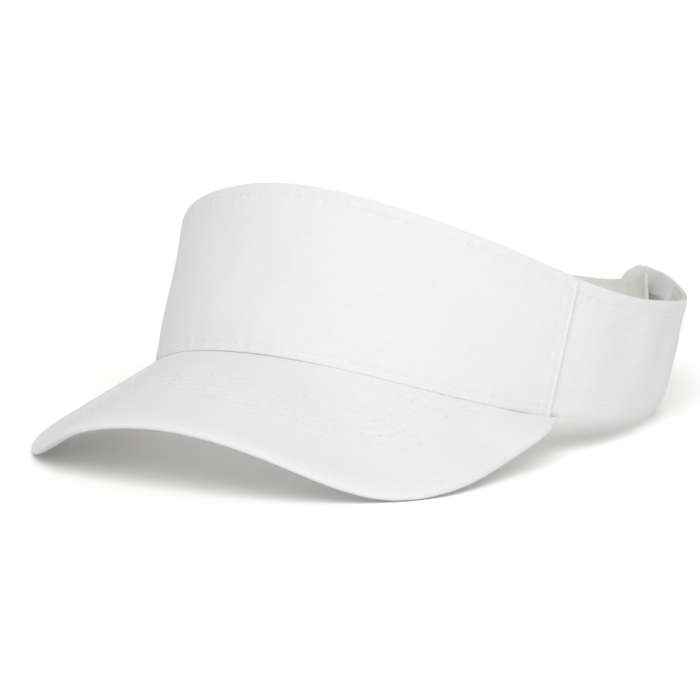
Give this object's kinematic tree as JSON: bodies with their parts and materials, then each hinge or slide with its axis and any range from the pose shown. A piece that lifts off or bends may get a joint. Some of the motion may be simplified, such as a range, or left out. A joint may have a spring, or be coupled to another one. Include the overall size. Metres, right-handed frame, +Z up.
{
  "type": "sun visor",
  "caption": "Open-crown cotton sun visor with a stiffened front, a pre-curved stitched brim, tapering side panels and a hook-and-loop rear closure.",
  "frame": {"origin": "centre of the bounding box's lower face, on the surface the visor stands on", "axes": "+Z up as it stands; -Y towards the brim; +X towards the wearer's left"},
  "size_m": [0.1712, 0.261, 0.091],
  "materials": {
    "twill": "white cotton twill, matt",
    "inner_twill": "white cotton twill, inner face",
    "under_twill": "white cotton twill",
    "interlining": "stiff open-weave interlining",
    "tape": "woven seam tape",
    "sweat_twill": "soft brushed cotton",
    "hook": "woven nylon with hooks",
    "loop": "brushed nylon loop",
    "brim_plastic": "flexible plastic sheet"
  },
  "bodies": {
    "crown": {"front_panel": "twill", "front_backing": "interlining", "front_facing": "inner_twill", "side_panel_right": "twill", "side_lining_right": "inner_twill", "seam_tape_left": "tape", "seam_tape_right": "tape", "sweatband_pad": "interlining", "sweatband": "sweat_twill", "closure_strap_right": "twill", "loop_tape": "loop", "brim_top_cover": "twill", "brim_under_cover": "under_twill", "brim_board": "brim_plastic"},
    "left_side": {"side_panel_left": "twill", "side_lining_left": "inner_twill"},
    "left_tab": {"closure_tab_left": "twill", "hook_tape": "hook"}
  },
  "joints": [
    {"name": "left_side_spread", "type": "hinge", "parent": "crown", "child": "left_side", "pos_m": [0.077, -0.0122, 0.0149], "axis": [0, 0, -1], "range_deg": [0, 30]},
    {"name": "left_tab_peel", "type": "hinge", "parent": "left_side", "child": "left_tab", "pos_m": [0.05648, 0.10374, 0.02072], "axis": [-0.0504, -0.3614, -0.9311], "range_deg": [0, 90]}
  ]
}
